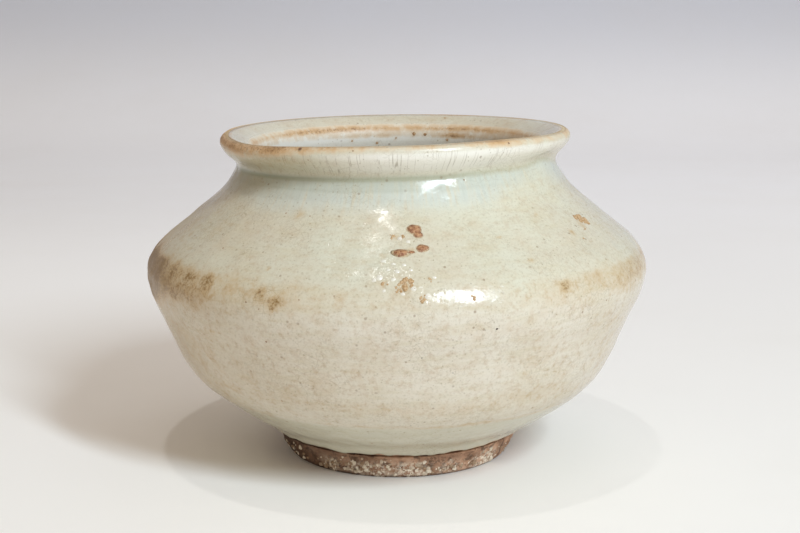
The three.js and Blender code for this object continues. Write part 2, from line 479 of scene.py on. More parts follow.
# Outline of the clay under the outer glaze, which rounds off the neck and the seam
SKIN_SPACING = 0.95
NECK_FILL_ROUNDS = 6
SEAM_FILL_ROUNDS = 16
coat_bed = soften(spaced(chain(glazed_wall, turn, slip_outer, shoulder, flare, lip_front), SKIN_SPACING), 2)
in_neck = lobe(coat_bed[:, 1:], NECK_Z, 5)
on_seam = lobe(coat_bed[:, 1:], SEAM_Z, 6)
coat_bed = coat_bed + (soften(coat_bed, NECK_FILL_ROUNDS) - coat_bed) * in_neck
coat_bed = coat_bed + (soften(coat_bed, SEAM_FILL_ROUNDS) - coat_bed) * on_seam


def coat_relief(points):
    """How far the outer glaze stands out or in: throwing rings, swells and a ragged keel at the left."""
    bearing = bearings(points)
    rings = waves(points * (0.15, 0.15, 1), 7, GLAZE_SEED) * 0.07
    swells = waves(points, 9, GLAZE_SEED + 2) * 0.075 + waves(points, 4.2, GLAZE_SEED + 3) * 0.03
    ragged = lobe(bearing, -84, 24) * lobe(points[..., 2], 60, 5)
    return rings + swells + ragged * (0.28 * waves(points, 4.5, GLAZE_SEED + 8) - 0.15)


# Places on the jar that a pixel of the photograph shows
glazed_outline = shifted(coat_bed, -GLAZE - 2 * GLAZE_CLEARANCE)
lining_outline = shifted(soften(spaced(chain(inner_shoulder, throat), 1), 2), GLAZE)
RAY_NEAR = 320
RAY_FAR = 600
RAY_STEPS = 4800
WARP_ROUNDS = 4


def on_jar(pixel_x, pixel_y, lining=False):
    """The unwarped point of the outer glaze, or the lining, that the warp brings under a pixel.

    Its directions round, up and out of the wall come with it.
    """
    outline = lining_outline if lining else glazed_outline
    focal = CAMERA_LENS / SENSOR_WIDTH * PICTURE_WIDTH
    forward = np.array((0, math.sin(CAMERA_TILT), -math.cos(CAMERA_TILT)))
    upward = np.array((0, math.cos(CAMERA_TILT), math.sin(CAMERA_TILT)))
    aside = np.array((1, 0, 0)) * (pixel_x - PICTURE_WIDTH / 2)
    ray = forward + (aside + upward * (PICTURE_HEIGHT / 2 - pixel_y)) / focal
    sight = CAMERA_PLACE / MM + ray * np.linspace(RAY_NEAR, RAY_FAR, RAY_STEPS)[:, None]
    shift = np.zeros(3)
    for _ in range(WARP_ROUNDS):
        points = sight - shift
        reach = np.interp(points[:, 2], outline[:, 1], outline[:, 0], right=math.inf if lining else 0)
        away = np.hypot(points[:, 0], points[:, 1])
        met = (away > reach) & (points[:, 1] > 0) if lining else away < reach
        place = points[np.argmax(met)]
        shift = warp(place) - place
    nearest = np.argmin(np.abs(outline[:, 1] - place[2]))
    normal = left_normals(outline)[nearest] * (1 if lining else -1)
    level = place[:2] / np.linalg.norm(place[:2])
    out = np.array((*(level * normal[0]), normal[1]))
    round_way = np.array((-level[1], level[0], 0))
    if not lining:
        place = place + out * coat_relief(place)
    return place, round_way, np.cross(out, round_way), out


# Materials
class Shader:
    """Nodes of one material. Each method returns the socket that it makes; lengths are in millimetres."""

    def __init__(self, name):
        self.material = bpy.data.materials.new(name)
        self.material.use_nodes = True
        self.tree = self.material.node_tree
        self.surface = self.tree.nodes["Principled BSDF"]
        coordinates = self.node("ShaderNodeTexCoord").outputs["Object"]
        self.place = self.scaled(coordinates, (1 / MM,) * 3)

    def feed(self, socket, value):
        if isinstance(value, bpy.types.NodeSocket):
            self.tree.links.new(value, socket)
        else:
            socket.default_value = colour(value) if isinstance(value, str) else value

    def node(self, kind, inputs=None, **settings):
        made = self.tree.nodes.new(kind)
        for name, value in settings.items():
            setattr(made, name, value)
        for name, value in (inputs or {}).items():
            self.feed(made.inputs[name], value)
        return made

    def vector(self, operation, *inputs):
        return self.node("ShaderNodeVectorMath", dict(enumerate(inputs)), operation=operation).outputs[0]

    def scaled(self, vector, factors):
        return self.vector("MULTIPLY", vector, factors)

    def math(self, operation, first, second=0.0):
        return self.node("ShaderNodeMath", {0: first, 1: second}, operation=operation).outputs[0]

    def product(self, *values):
        return reduce(partial(self.math, "MULTIPLY"), values)

    def total(self, *values):
        return reduce(partial(self.math, "ADD"), values)

    def step(self, value, low, high):
        """A soft step from 0 at low to 1 at high, where low may be the larger."""
        ends = {"From Min": min(low, high), "From Max": max(low, high)}
        ends |= {"To Min": float(low > high), "To Max": float(low < high)}
        made = self.node("ShaderNodeMapRange", {"Value": value, **ends}, interpolation_type="SMOOTHSTEP")
        return made.outputs["Result"]

    def noise(self, size, detail=3.0, roughness=0.5, over=None):
        inputs = {"Scale": 1 / size, "Detail": detail, "Roughness": roughness}
        inputs["Vector"] = over or self.place
        return self.node("ShaderNodeTexNoise", inputs).outputs[0]

    def cells(self, vector, size, feature):
        """Random cells: their distance field and their colours."""
        return self.node("ShaderNodeTexVoronoi", {"Vector": vector, "Scale": 1 / size}, feature=feature)

    def cracks(self, vector, size, width):
        """Fine lines along the edges of random cells, 1 on a line."""
        edge = self.cells(vector, size, "DISTANCE_TO_EDGE").outputs["Distance"]
        return self.step(edge, width / size, 0)

    def layer(self, name):
        return self.node("ShaderNodeAttribute", attribute_name=name).outputs["Fac"]

    def part(self, axis):
        return self.node("ShaderNodeSeparateXYZ", {0: self.place}).outputs[axis]

    def round_place(self, reach, squeeze):
        """The place on a drum of that radius, with heights squeezed, for marks that run up and down."""
        turned_out = self.vector("NORMALIZE", self.scaled(self.place, (1, 1, 0)))
        upright = self.node("ShaderNodeCombineXYZ", {"Z": self.product(self.part("Z"), squeeze)})
        return self.vector("ADD", self.scaled(turned_out, (reach, reach, 0)), upright.outputs[0])

    def shaken(self, vector, size, amount):
        """The place pushed about by noise, so that lines over it waver."""
        inputs = {"Vector": vector, "Scale": 1 / size, "Detail": 3.0}
        pushes = self.node("ShaderNodeTexNoise", inputs).outputs[1]
        return self.vector("ADD", vector, self.scaled(pushes, (amount,) * 3))

    def blend(self, share, under, over):
        """The colour under, covered by the colour over as far as share says."""
        made = self.tree.nodes.new("ShaderNodeMix")
        made.data_type = "RGBA"
        sockets = {socket.identifier: socket for socket in made.inputs}
        self.feed(sockets["Factor_Float"], share)
        self.feed(sockets["A_Color"], under)
        self.feed(sockets["B_Color"], over)
        return next(socket for socket in made.outputs if socket.identifier == "Result_Color")

    def tint(self, under, code, *shares):
        """The colour under, covered by a hex colour as far as the product of the shares says."""
        return self.blend(self.product(*shares), under, code)

    def finish(self, base, roughness, relief, depth):
        """Connects colour, roughness and a fine relief of that depth, and gives the material back."""
        self.feed(self.surface.inputs["Base Color"], base)
        self.feed(self.surface.inputs["Roughness"], roughness)
        bump = self.node("ShaderNodeBump", {"Height": relief, "Distance": depth * MM})
        self.feed(self.surface.inputs["Normal"], bump.outputs["Normal"])
        return self.material


def glaze_material():
    """Greenish white crackled glaze, pinkish below the seam. The mesh gives it its layers."""
    s = Shader("crackled_glaze")
    height = s.part("Z")
    below_seam = s.step(height, 71, 56)
    clouds = s.noise(24, 3)
    blotches = s.noise(6, 5, 0.62)
    freckles = s.noise(2.4, 5, 0.7)
    grain = s.noise(0.7, 4, 0.7)
    drag = s.noise(10, 5, 0.62, s.scaled(s.place, (1, 1, 7)))
    runs = s.noise(1.1, 4, 0.6, s.round_place(50, 0.1))

    base = s.blend(s.step(clouds, 0.3, 0.7), "#d4d1bc", "#d2cab4")
    base = s.tint(base, "#ded5c6", below_seam, 0.8)
    base = s.tint(base, "#cbbf9f", s.step(drag, 0.42, 0.72), 0.4)
    tan = s.layer("tan")
    # This layer is partly a real ochre tone and partly painted shade that darkens the left side.
    base = s.tint(base, "#b29b6a", tan, 0.6)
    tan_share = s.total(s.product(below_seam, 0.16), s.product(tan, 0.5), 0.12)
    base = s.tint(base, "#c2a47c", s.step(blotches, 0.46, 0.72), tan_share, 0.7)
    base = s.tint(base, "#b39570", s.step(freckles, 0.48, 0.7), s.total(tan_share, 0.2), 0.8)
    base = s.tint(base, "#a4987c", s.step(grain, 0.5, 0.24), 0.55)
    base = s.tint(base, "#e6dfcc", s.step(grain, 0.56, 0.76), 0.5)
    # Painted light: a paler tint on the rim face where the light falls, over the upper inside and the throat,
    # and on the glaze beads.
    base = s.tint(base, "#f4f0e6", s.layer("clean"))
    base = s.tint(base, "#b9b096", s.step(height, 42, 26), 0.14)
    base = s.tint(base, "#c2bfa8", s.step(height, 25, 22.5), 0.6)

    pool = s.layer("pool")
    base = s.tint(base, "#cad0c7", pool, s.step(runs, 0.25, 0.55), 0.75)
    base = s.tint(base, "#a9ab98", pool, s.step(runs, 0.54, 0.66), 0.16)
    # Greenish grey of glaze pooled in the neck groove, with painted shade in that crease and the ledge below
    # it, under the rim and along the neck at the left, and along the lower glaze edge.
    base = s.tint(base, "#93967e", s.layer("groove_tint_and_shade"), 0.75)

    broken = s.product(s.total(s.step(blotches, 0.3, 0.7), s.step(freckles, 0.35, 0.7)), 0.35)
    broken = s.total(broken, 0.6)
    # Real stains, with painted shade added from the neck at the left and from the inside at the right.
    stain_and_shade = s.product(s.layer("stain_and_shade"), broken)
    base = s.tint(base, "#be975a", s.step(stain_and_shade, 0.05, 0.8), 0.55)
    scorched = s.product(stain_and_shade, s.total(0.62, s.product(s.step(grain, 0.35, 0.62), 0.7)))
    base = s.tint(base, "#7a591f", s.step(scorched, 0.45, 1.3), 0.8)

    wavy = s.shaken(s.place, 5, 1.8)
    crackle = s.math("MAXIMUM", s.cracks(wavy, 3.0, 0.1), s.product(s.cracks(wavy, 1.4, 0.07), 0.6))
    crackle_share = s.step(s.noise(15, 3), 0.42, 0.72)
    base = s.tint(base, "#8a7654", crackle, crackle_share, 0.34)
    upright = s.shaken(s.round_place(51, 0.07), 1.6, 0.25)
    craze = s.product(s.cracks(upright, 2.0, 0.1), s.layer("craze"), s.step(blotches, 0.42, 0.58))
    base = s.tint(base, "#7d6848", craze, 0.6)

    for size, radius, pick, shade in ((2.7, 0.2, 0.74, "#7a5a3a"), (1.3, 0.24, 0.66, "#97866a")):
        dots = s.cells(s.place, size, "F1")
        chosen = s.node("ShaderNodeSeparateColor", {0: dots.outputs["Color"]}).outputs[0]
        dot = s.step(dots.outputs["Distance"], radius, radius / 2)
        dot = s.product(dot, s.step(chosen, pick, pick + 0.08))
        base = s.tint(base, shade, dot, s.step(clouds, 0.3, 0.6), 0.5)

    worn = s.layer("wear")
    wear = s.product(worn, s.total(0.5, s.step(freckles, 0.3, 0.65), s.step(blotches, 0.35, 0.7)))
    base = s.tint(base, "#d8bd98", s.step(wear, 0.05, 0.4), 0.6)
    base = s.tint(base, "#c9a06f", s.step(wear, 0.25, 0.9), 0.75)
    base = s.tint(base, "#976f3f", s.step(wear, 0.8, 1.6), 0.6)
    base = s.tint(base, "#74461f", s.step(worn, 0.3, 0.8), s.step(grain, 0.5, 0.6), 0.75)

    roughness = s.total(s.product(grain, 0.14), s.product(s.step(stain_and_shade, 0.3, 0.9), 0.1), 0.07)
    roughness = s.total(roughness, s.product(s.layer("dull"), 0.4))
    relief = s.total(s.noise(2.6, 3), s.product(grain, 0.45), s.product(crackle, -0.25))
    relief = s.total(relief, s.product(s.layer("pits"), s.noise(2.2, 2), 10.0))
    return s.finish(base, roughness, relief, 0.045)


def clay_material(name, pale, middle, dark, scorch_and_shade):
    """Rough bare clay: three tones in patches, with sandy grain and pits, scorched and crusted in places, and
    darkened where its burn layer says: painted shade on the foot and the hidden bowl, real browning at the
    lip.
    """
    s = Shader(name)
    patches = s.noise(8, 5, 0.65)
    sand = s.noise(0.8, 5, 0.75)
    pits = s.cells(s.place, 1.7, "F1").outputs["Distance"]
    base = s.blend(s.step(patches, 0.35, 0.6), dark, middle)
    base = s.tint(base, pale, s.step(patches, 0.5, 0.72), 0.8)
    base = s.tint(base, pale, s.step(sand, 0.55, 0.75), 0.5)
    # The burn layer: painted shade on the foot and the hidden bowl, real browning at the lip.
    base = s.tint(base, scorch_and_shade, s.layer("burn"), s.step(patches, 0.15, 0.5))
    scorch = s.product(s.layer("scorch"), s.step(s.noise(3.2, 4, 0.7), 0.5, 0.62))
    base = s.tint(base, scorch_and_shade, scorch, 0.9)
    crust = s.product(s.layer("crust"), s.step(s.noise(1.5, 5, 0.75), 0.45, 0.55))
    base = s.tint(base, "#fff3df", crust, 0.95)
    base = s.tint(base, dark, s.step(pits, 0.25, 0.1), 0.6)
    relief = s.total(s.product(sand, 0.8), s.product(s.step(pits, 0.3, 0.05), -0.6), patches)
    roughness = s.total(0.78, s.product(sand, 0.2))
    return s.finish(base, roughness, relief, 0.4)


def grit_material():
    """Pale kiln sand, each grain a little different."""
    s = Shader("kiln_sand")
    shade = s.layer("shade")
    grain = s.noise(0.6, 4, 0.7)
    base = s.blend(s.step(shade, 0.1, 0.9), "#ad9175", "#f2e4ce")
    base = s.tint(base, "#8a684e", s.step(grain, 0.5, 0.75), 0.5)
    roughness = s.total(0.6, s.product(grain, 0.3))
    return s.finish(base, roughness, grain, 0.25)


def iron_material():
    """Iron-brown and ochre blisters in the glaze, whose frayed edges fade into it."""
    s = Shader("iron_blister")
    rim = s.layer("rim")
    burn = s.noise(0.9, 5, 0.75)
    base = s.blend(s.step(burn, 0.38, 0.62), "#86512f", "#c6966c")
    base = s.tint(base, "#6a4028", s.step(rim, 0.4, 0.7), 0.35)
    ochre = s.blend(s.step(burn, 0.38, 0.6), "#b8925f", "#d3b78e")
    ochre = s.tint(ochre, "#99703f", s.step(rim, 0.3, 0.55), s.step(rim, 0.85, 0.6), 0.5)
    base = s.blend(s.layer("pale"), base, ochre)
    base = s.tint(base, "#33251a", s.layer("black"))
    frayed = s.total(rim, s.product(s.total(burn, -0.5), 1.2))
    whole = s.math("SUBTRACT", 1.0, s.layer("pale"))
    base = s.tint(base, "#c9b794", s.step(frayed, 0.62, 0.92), 0.92, whole)
    roughness = s.total(0.2, s.product(burn, 0.25))
    return s.finish(base, roughness, burn, 0.35)


def paper_material():
    """Pale paper sweep, with painted light that lifts the floor further back and painted shade that greys and
    cools it where it rises behind.
    """
    s = Shader("paper_sweep")
    # Painted light: paler and cooler further back.
    behind = s.step(s.part("Y"), -150, 800)
    mottle = s.noise(180, 4, 0.6)
    base = s.blend(behind, "#fbf8f2", "#fcfdff")
    # Painted shade: greyer and cooler as the sweep rises.
    base = s.tint(base, "#d6d9e1", s.step(s.part("Z"), 0, 150))
    base = s.tint(base, "#d9cfbf", s.step(mottle, 0.4, 0.8), 0.08)
    fibre = s.noise(1.5, 3)
    return s.finish(base, s.total(0.85, s.product(fibre, 0.1)), fibre, 0.02)


# Pieces of the jar
FINE_SEGMENTS = 384
FOOT_SEGMENTS = 300
LINING_SEGMENTS = 256
COARSE_SEGMENTS = 144
SEAT_SPACING = 3.0
HIDDEN_SPACING = 2.6
LINING_SPACING = 1.25
FOOT_SPACING = 0.55


def marked(points, marks, gain, lining=False):
    """Strength of soft round marks at each point."""
    strength = np.zeros(points.shape[:-1])
    for pixel_x, pixel_y, size in marks.values():
        place = on_jar(pixel_x, pixel_y, lining)[0]
        strength += gain * lobe(np.linalg.norm(points - place, axis=-1), 0, size / 1.6)
    return strength


def outer_layers(points):
    """Where the outer glaze is stained, pooled, grooved, worn, crazed, ochre-toned, pitted and dull, and
    where painted shade and painted light go on: shade at the left side, in the neck crease, under the rim and
    along the lower glaze edge, light on the rim's front and right face.
    """
    z = points[..., 2]
    bearing = bearings(points)
    drift = waves(points, 26, GLAZE_SEED + 1)
    ripple = waves(points, 7, GLAZE_SEED + 9)
    left = lobe(bearing, -84, 34)
    far_left = lobe(bearing, -92, 30)
    seam_strength = 0.34 + 0.75 * left + 0.3 * lobe(bearing, 70, 26) + 0.3 * lobe(np.abs(bearing), 150, 40)
    seam_strength *= 1 - 0.5 * lobe(bearing, 10, 20)
    band_foot = 56 - 4 * left + 2 * drift + (1 + 1.6 * left) * ripple
    band = between(z, band_foot, band_foot + 8, 67.5, 71 + 0.8 * drift + 0.8 * ripple)
    lower_line = lobe(z, 24.4 + 0.5 * drift, 0.9) * 0.5 * lobe(bearing, 26, 50)
    lower_band = lobe(z, 31.5 + 1.5 * drift, 3.0) * 0.3
    edge_patch = (0.9 + 0.35 * ripple) * lobe(bearing, -86, 25) * lobe(z, 62, 9.5)
    neck_shade = lobe(bearing, -64, 26) * lobe(z, NECK_Z - 2.5, 3.5)
    pool_foot = 84 + 1.5 * drift + 5 * lobe(bearing, 58, 28)
    pool = between(z, pool_foot, pool_foot + 6, NECK_Z - 0.8, NECK_Z + 0.4)
    craze = between(z, NECK_Z + 1, NECK_Z + 3.5, LIP_Z - 3, LIP_Z - 1)
    # Painted shade on the rim's lower face at the left.
    under_rim = 0.45 * lobe(bearing, -62, 34) * lobe(z, NECK_Z + 3, 2.8)
    ledge = 0.35 * lobe(z, NECK_Z - 1.6, 1.2) + 0.25 * lobe(z, NECK_Z - 2.9, 0.45)
    dull_lip = smooth(z, LIP_Z - 3, LIP_Z - 1)
    dull_keel = lobe(bearing, -100, 26) * between(z, 50, 58, 76, 88)
    rim_face = between(z, NECK_Z + 1, NECK_Z + 4, LIP_Z - 3, LIP_Z - 1)
    # Painted light on the rim face, at the front and right.
    clean = 0.9 * rim_face * between(bearing, -34, -2, 20, 105)
    # The neck crease: pooled glaze and painted shade, weaker at the right where the light falls.
    groove_tint_and_shade = lobe(z, NECK_Z + 0.3, 0.9) * (1 - 0.55 * smooth(bearing, 10, 45))
    worn_left = lobe(bearing, -62, 36)
    worn_right = smooth(bearing, 10, 40)
    lip = smooth(z, LIP_Z - 1.8 - 3.4 * worn_left - worn_right, LIP_Z - 0.1)
    worn = 0.22 + 0.04 * worn_right + 0.6 * worn_left + 0.12 * lobe(bearing, -15, 25)
    worn = worn + 0.14 * drift + 0.1 * ripple
    # Painted shade: the left of the body, the far left and the left of the rim face are darkened, as the side
    # away from the light.
    painted_left_shade = 0.65 * lobe(bearing, -66, 36) * lobe(z, 48, 17)
    tan = 0.12 * drift + 0.85 * far_left + painted_left_shade + 0.4 * lobe(bearing, -48, 30) * rim_face
    tan = tan + 0.2 * lobe(bearing, 62, 30) * smooth(z, 66, 52)
    blots = marked(points, OCHRE_BLOTS, 0.62)
    pits = sum(lobe(np.linalg.norm(points - on_jar(*pixel)[0], axis=-1), 0, 4) for pixel in PITTED_PIXELS)
    return {
        # The stains also take painted shade along the neck at the left.
        "stain_and_shade": seam_strength * band + edge_patch + lower_line + lower_band + 0.35 * neck_shade + blots,
        "pool": pool * (1 - 0.8 * left),
        "groove_tint_and_shade": groove_tint_and_shade + 0.75 * neck_shade + under_rim + ledge * lobe(bearing, -10, 50),
        "wear": lip * worn,
        "craze": craze * (0.35 + 0.6 * lobe(bearing, -14, 42)),
        "tan": np.clip(tan, 0, 1),
        "clean": clean,
        "pits": np.clip(pits, 0, 1),
        "dull": dull_lip * (1 - 0.85 * lobe(bearing, 20, 18)) + dull_keel,
    }


def outer_glaze(material):
    """The outer coat: a rolled, wavering lower edge above the foot, and a thin worn edge at the lip."""
    along = travel(coat_bed)
    from_lip = along[-1] - along
    roll = np.sqrt(np.clip(1 - (1 - np.clip(along / ROLL_REACH, 0, 1)) ** 2, 0, 1))
    thickness = roll * (GLAZE + (GLAZE_ROLL - GLAZE) * np.exp(-((along / 4) ** 2)))
    thickness = np.minimum(thickness, GLAZE_WORN + WORN_TAPER * from_lip) + 2 * GLAZE_CLEARANCE
    skin = shifted(coat_bed, -thickness)
    seat_bed = spaced(coat_bed, SEAT_SPACING)
    seat = shifted(seat_bed, -GLAZE_CLEARANCE)
    outline = closed(np.vstack((skin, seat[::-1])))
    out = -left_normals(outline)[:-1]
    way_up = np.vstack((tangents(coat_bed), tangents(seat_bed)[::-1]))
    swing = np.exp(-np.concatenate((along, travel(seat_bed)[::-1])) / EDGE_FADE)
    freedom = np.zeros(len(out))
    freedom[:len(skin)] = smooth(along, 0, 4) * smooth(from_lip, 0, 3)

    def shape(grid):
        level = grid * (1, 1, 0)
        edge = waves(level, 17, EDGE_SEED) * 1.0 + waves(level, 6, EDGE_SEED + 1) * 1.0
        edge += waves(level, 3, EDGE_SEED + 2) * 0.35
        edge += EDGE_LIFT + SIDE_EDGE_LIFT * smooth(np.abs(bearings(grid)), 20, 62)
        moved = spread(out, grid) * (freedom[:, None] * coat_relief(grid))[..., None]
        return grid + moved + spread(way_up, grid) * (swing[:, None] * edge)[..., None]

    made, points = turned("outer_glaze_coat", outline, FINE_SEGMENTS, material, shape)
    layers = outer_layers(points)
    bearing = bearings(points)
    near_edge = np.concatenate((np.exp(-along / 1.1), np.zeros(len(out) - len(skin))))
    near_edge = np.repeat(near_edge, FINE_SEGMENTS)
    layers["wear"] += near_edge * (0.2 + 0.75 * lobe(bearing, 58, 32) + 0.4 * lobe(bearing, -75, 30))
    # A dark line along the front of the lower glaze edge: partly the glaze's own grey, partly painted shade
    # under the roll.
    layers["groove_tint_and_shade"] += 0.55 * near_edge * lobe(bearing, -5, 30)
    paint(made, **layers)
    return made


def inner_layers(points):
    """Where the lining is stained, pooled, worn, dull and warm-toned, with painted shade at the right below
    the throat and painted light over the upper wall and the throat.
    """
    x, y, z = np.moveaxis(points, -1, 0)
    radius = np.hypot(x, y)
    bearing = bearings(points)
    drift = waves(points, 22, GLAZE_SEED + 5)
    near_throat = 1 - smooth(radius, throat_radius + 1.4, throat_radius + 2.6)
    near_throat = near_throat * smooth(z, NECK_Z + 1, NECK_Z + 3)
    upper_edge = lobe(z, throat_top - 0.5, 0.9)
    lower_edge = lobe(z, throat_top - THROAT_ROUND - THROAT_UPRIGHT, 0.45)
    upper_line = 0.27 + 0.4 * lobe(bearing, -148, 22) + 0.2 * lobe(bearing, 150, 20)
    lower_line = 0.22 + 0.95 * lobe(bearing, 152, 9) + 0.35 * lobe(bearing, -168, 14)
    blush = smooth(z, throat_top - 3.2, throat_top - 2) * 0.15
    in_dish = smooth(z, throat_top - 2, throat_top - 0.2)
    lip = smooth(radius, LIP_RADIUS - 4, LIP_RADIUS - 2.4) * smooth(z, LIP_Z - 1, LIP_Z - 0.1)
    wear = lip * (0.2 + 0.2 * drift + 0.4 * lobe(bearing, -72, 30))
    wear = wear + near_throat * (upper_line * upper_edge + lower_line * lower_edge + blush)
    stain_and_shade = 0.06 + 0.16 * np.clip(drift, 0, 1) + 0.3 * lobe(z, SEAM_Z, 2.5)
    right_shade = 0.2 * lobe(bearing, 140, 30) * lobe(z, throat_top - 3, 4)
    halos = marked(points, LINING_SPECKS, 0.55, lining=True)
    return {
        "stain_and_shade": stain_and_shade + right_shade + halos,
        "pool": (1 - smooth(z, FLOOR_Z + 1, FLOOR_Z + 5)) * 0.7,
        "wear": wear,
        "dull": 0.8 * near_throat,
        "tan": 0.05 + 0.1 * np.clip(drift, 0, 1) + 0.23 * in_dish,
        # Painted light: the upper inside and the throat are paled against the shade inside the jar.
        "clean": 0.6 * smooth(z, GIRTH_Z, NECK_Z) * (1 - 0.8 * in_dish) + 0.3 * near_throat,
    }


def inner_glaze(material):
    """The lining, from the middle of the floor to the worn lip, with the spiral of the potter's fingers."""
    clay = soften(spaced(chain(inside, rim_inside), LINING_SPACING), 2)
    from_lip = travel(clay)[-1] - travel(clay)
    thickness = np.minimum(GLAZE, GLAZE_WORN + WORN_TAPER * from_lip)
    skin = shifted(clay, thickness)
    seat = shifted(spaced(clay, SEAT_SPACING), GLAZE_CLEARANCE)
    skin[0, 0] = seat[0, 0] = 0
    outline = np.vstack((seat, skin[::-1]))
    into = left_normals(outline)
    into[len(seat):] *= -1
    freedom = np.concatenate((np.zeros(len(seat)), smooth(from_lip, 12, 30)[::-1]))

    def shape(grid):
        angle = np.arctan2(grid[..., 1], grid[..., 0])
        reach = np.concatenate((travel(seat), travel(skin)[::-1]))[:, None]
        spiral = SPIRAL_DEPTH * np.sin(2 * math.pi * reach / SPIRAL_PITCH + angle) * smooth(reach, 3, 14)
        swells = waves(grid, 14, GLAZE_SEED + 7) * 0.1
        return grid + spread(into, grid) * (freedom[:, None] * (spiral + swells))[..., None]

    made, points = turned("inner_glaze_coat", outline, LINING_SEGMENTS, material, shape)
    paint(made, **inner_layers(points))
    return made


# Sandy crusts on the foot: bearing, reach in degrees, strength
CRUSTS = ((-34, 4, 0.5), (-19, 5, 0.4), (-9, 4, 0.7), (6, 7, 1), (25, 5, 0.4), (47, 8, 0.9), (150, 30, 0.5))


def painted_side_shade(points):
    """Painted shade on the bare clay, darker at the left and behind."""
    bearing = bearings(points)
    return 0.95 * lobe(bearing, -70, 52) + 0.35 * lobe(bearing, 175, 50)


def foot_ring(material):
    """The turned foot: chipped, gritty and flaring up to the wall, on a level tread."""
    tread_outer = FOOT_RADIUS - FOOT_BEVEL
    tread_inner = tread_outer - FOOT_TREAD
    recess = tread_inner - FOOT_BEVEL
    corners = [
        (tread_inner, 0),
        (tread_outer, 0),
        (FOOT_RADIUS, FOOT_BEVEL),
        foot_join,
        (recess - RECESS_TAPER, FOOT_HEIGHT),
        (recess, FOOT_BEVEL),
        (tread_inner, 0),
    ]
    outline = spaced(corners, FOOT_SPACING)
    outline[-1] = outline[0]
    out = -left_normals(outline)[:-1]
    level = outline[:-1, 1]
    freedom = smooth(level, 0, 1.6) * (1 - smooth(level, FOOT_HEIGHT - 1.2, FOOT_HEIGHT))

    def shape(grid):
        lumps = waves(grid, 5, FOOT_SEED) * 0.3 + waves(grid, 2.2, FOOT_SEED + 1) * 0.28
        chips = -0.7 * smooth(waves(grid, 9, FOOT_SEED + 2), 0.6, 1.1)
        return grid + spread(out, grid) * (freedom[:, None] * (lumps + chips))[..., None]

    made, points = turned("foot_ring_clay", outline, FOOT_SEGMENTS, material, shape)
    z = points[:, 2]
    # Painted shade at the left and behind, and a painted contact shadow along the bottom of the tread.
    burn = painted_side_shade(points) + 0.7 * (1 - smooth(z, 0.2, 1.1))
    crust = lobes(bearings(points), CRUSTS) * (1 - smooth(z, 3.5, 7))
    paint(made, burn=np.clip(burn, 0, 1), crust=crust, scorch=0.8)
    return made


def lower_bowl(material):
    outer = tucked(chain(((0, FOOT_HEIGHT), foot_join), wall, turn))
    outline = spaced(np.vstack((outer, floor_and_wall[::-1])), HIDDEN_SPACING)

    def shape(grid):
        radius = np.hypot(grid[..., 0], grid[..., 1])
        underside = (grid[..., 2] < FOOT_HEIGHT + MM) * smooth(FOOT_RADIUS - radius, 6, 12)
        moved = grid.copy()
        moved[..., 2] += underside * (0.2 + 0.14 * np.sin(radius * 2 * math.pi / 4.6))
        return moved

    made, points = turned("lower_bowl_clay", outline, COARSE_SEGMENTS, material, shape)
    # Painted shade at the left and behind.
    paint(made, burn=painted_side_shade(points), scorch=0.8)
    return made


def joint_slip(material):
    outline = closed(np.vstack((tucked(slip_outer), (slip_inner_top, bead, seam_inner))))
    return turned("joint_slip_clay", outline, COARSE_SEGMENTS, material)[0]


def upper_bowl(material):
    outer = spaced(tucked(shoulder), HIDDEN_SPACING)
    outline = closed(np.vstack((outer, spaced(inner_shoulder, HIDDEN_SPACING)[::-1])))
    return turned("upper_bowl_clay", outline, COARSE_SEGMENTS, material)[0]


def mouth_rim(material):
    outer = chain(spaced(flare, 1), spaced(chain(lip_front, lip_crest, lip_back), 0.5), throat[::-1])
    made, points = turned("mouth_rim_clay", closed(outer), FINE_SEGMENTS, material)
    bearing = bearings(points)
    paint(made, burn=0.6 * lobe(bearing, -68, 30) + 0.12 * lobe(bearing, 0, 40))
    return made


LUMP_RINGS = 6
LUMP_SEGMENTS = 36
LUMP_WAVES = ((2, 0.06), (3, 0.05), (5, 0.03))
LUMP_SINK = 0.1
LUMP_TOP = 0.92
LUMP_STEEPNESS = 0.16
BLISTER_RISE = 0.55
OCHRE_RISE = 0.18
SPECK_RISE = 0.09
SPECK_FLATNESS = 0.85
BEAD_RISE = 0.3
GRAIN_AREA = 0.8


def turned_ways(turn, round_way, up_way):
    """The long and the short direction of a mark that is turned on the wall."""
    return [heading(angle) @ (round_way, up_way) for angle in (turn, turn + 90)]


def lump(place, round_way, up_way, out_way, width, height, turn, rise, random):
    """Points and faces of one low irregular dome that stands on the wall, sunk a little into it."""
    angles = np.arange(LUMP_SEGMENTS) * 2 * math.pi / LUMP_SEGMENTS
    ragged = 1 + sum(share * np.sin(count * angles + random.uniform(0, 6)) for count, share in LUMP_WAVES)
    long_way, short_way = turned_ways(turn, round_way, up_way)
    ring = np.outer(np.cos(angles) * ragged * width / 2, long_way)
    ring += np.outer(np.sin(angles) * ragged * height / 2, short_way)
    shares = np.linspace(1, 0, LUMP_RINGS, endpoint=False)
    rings = []
    for share in shares:
        lift = (rise + LUMP_SINK) * (1 - share**2) ** 1.4 - LUMP_SINK
        rings.append(place + ring * share + out_way * lift)
    points = np.vstack([place - out_way * 2 * LUMP_SINK] + rings + [place + out_way * rise * LUMP_TOP])
    faces = turned_faces([True] + [False] * LUMP_RINGS + [True], LUMP_SEGMENTS, False)
    rim = np.concatenate(((1,), np.repeat(shares, LUMP_SEGMENTS), (0,)))
    return points, faces, rim


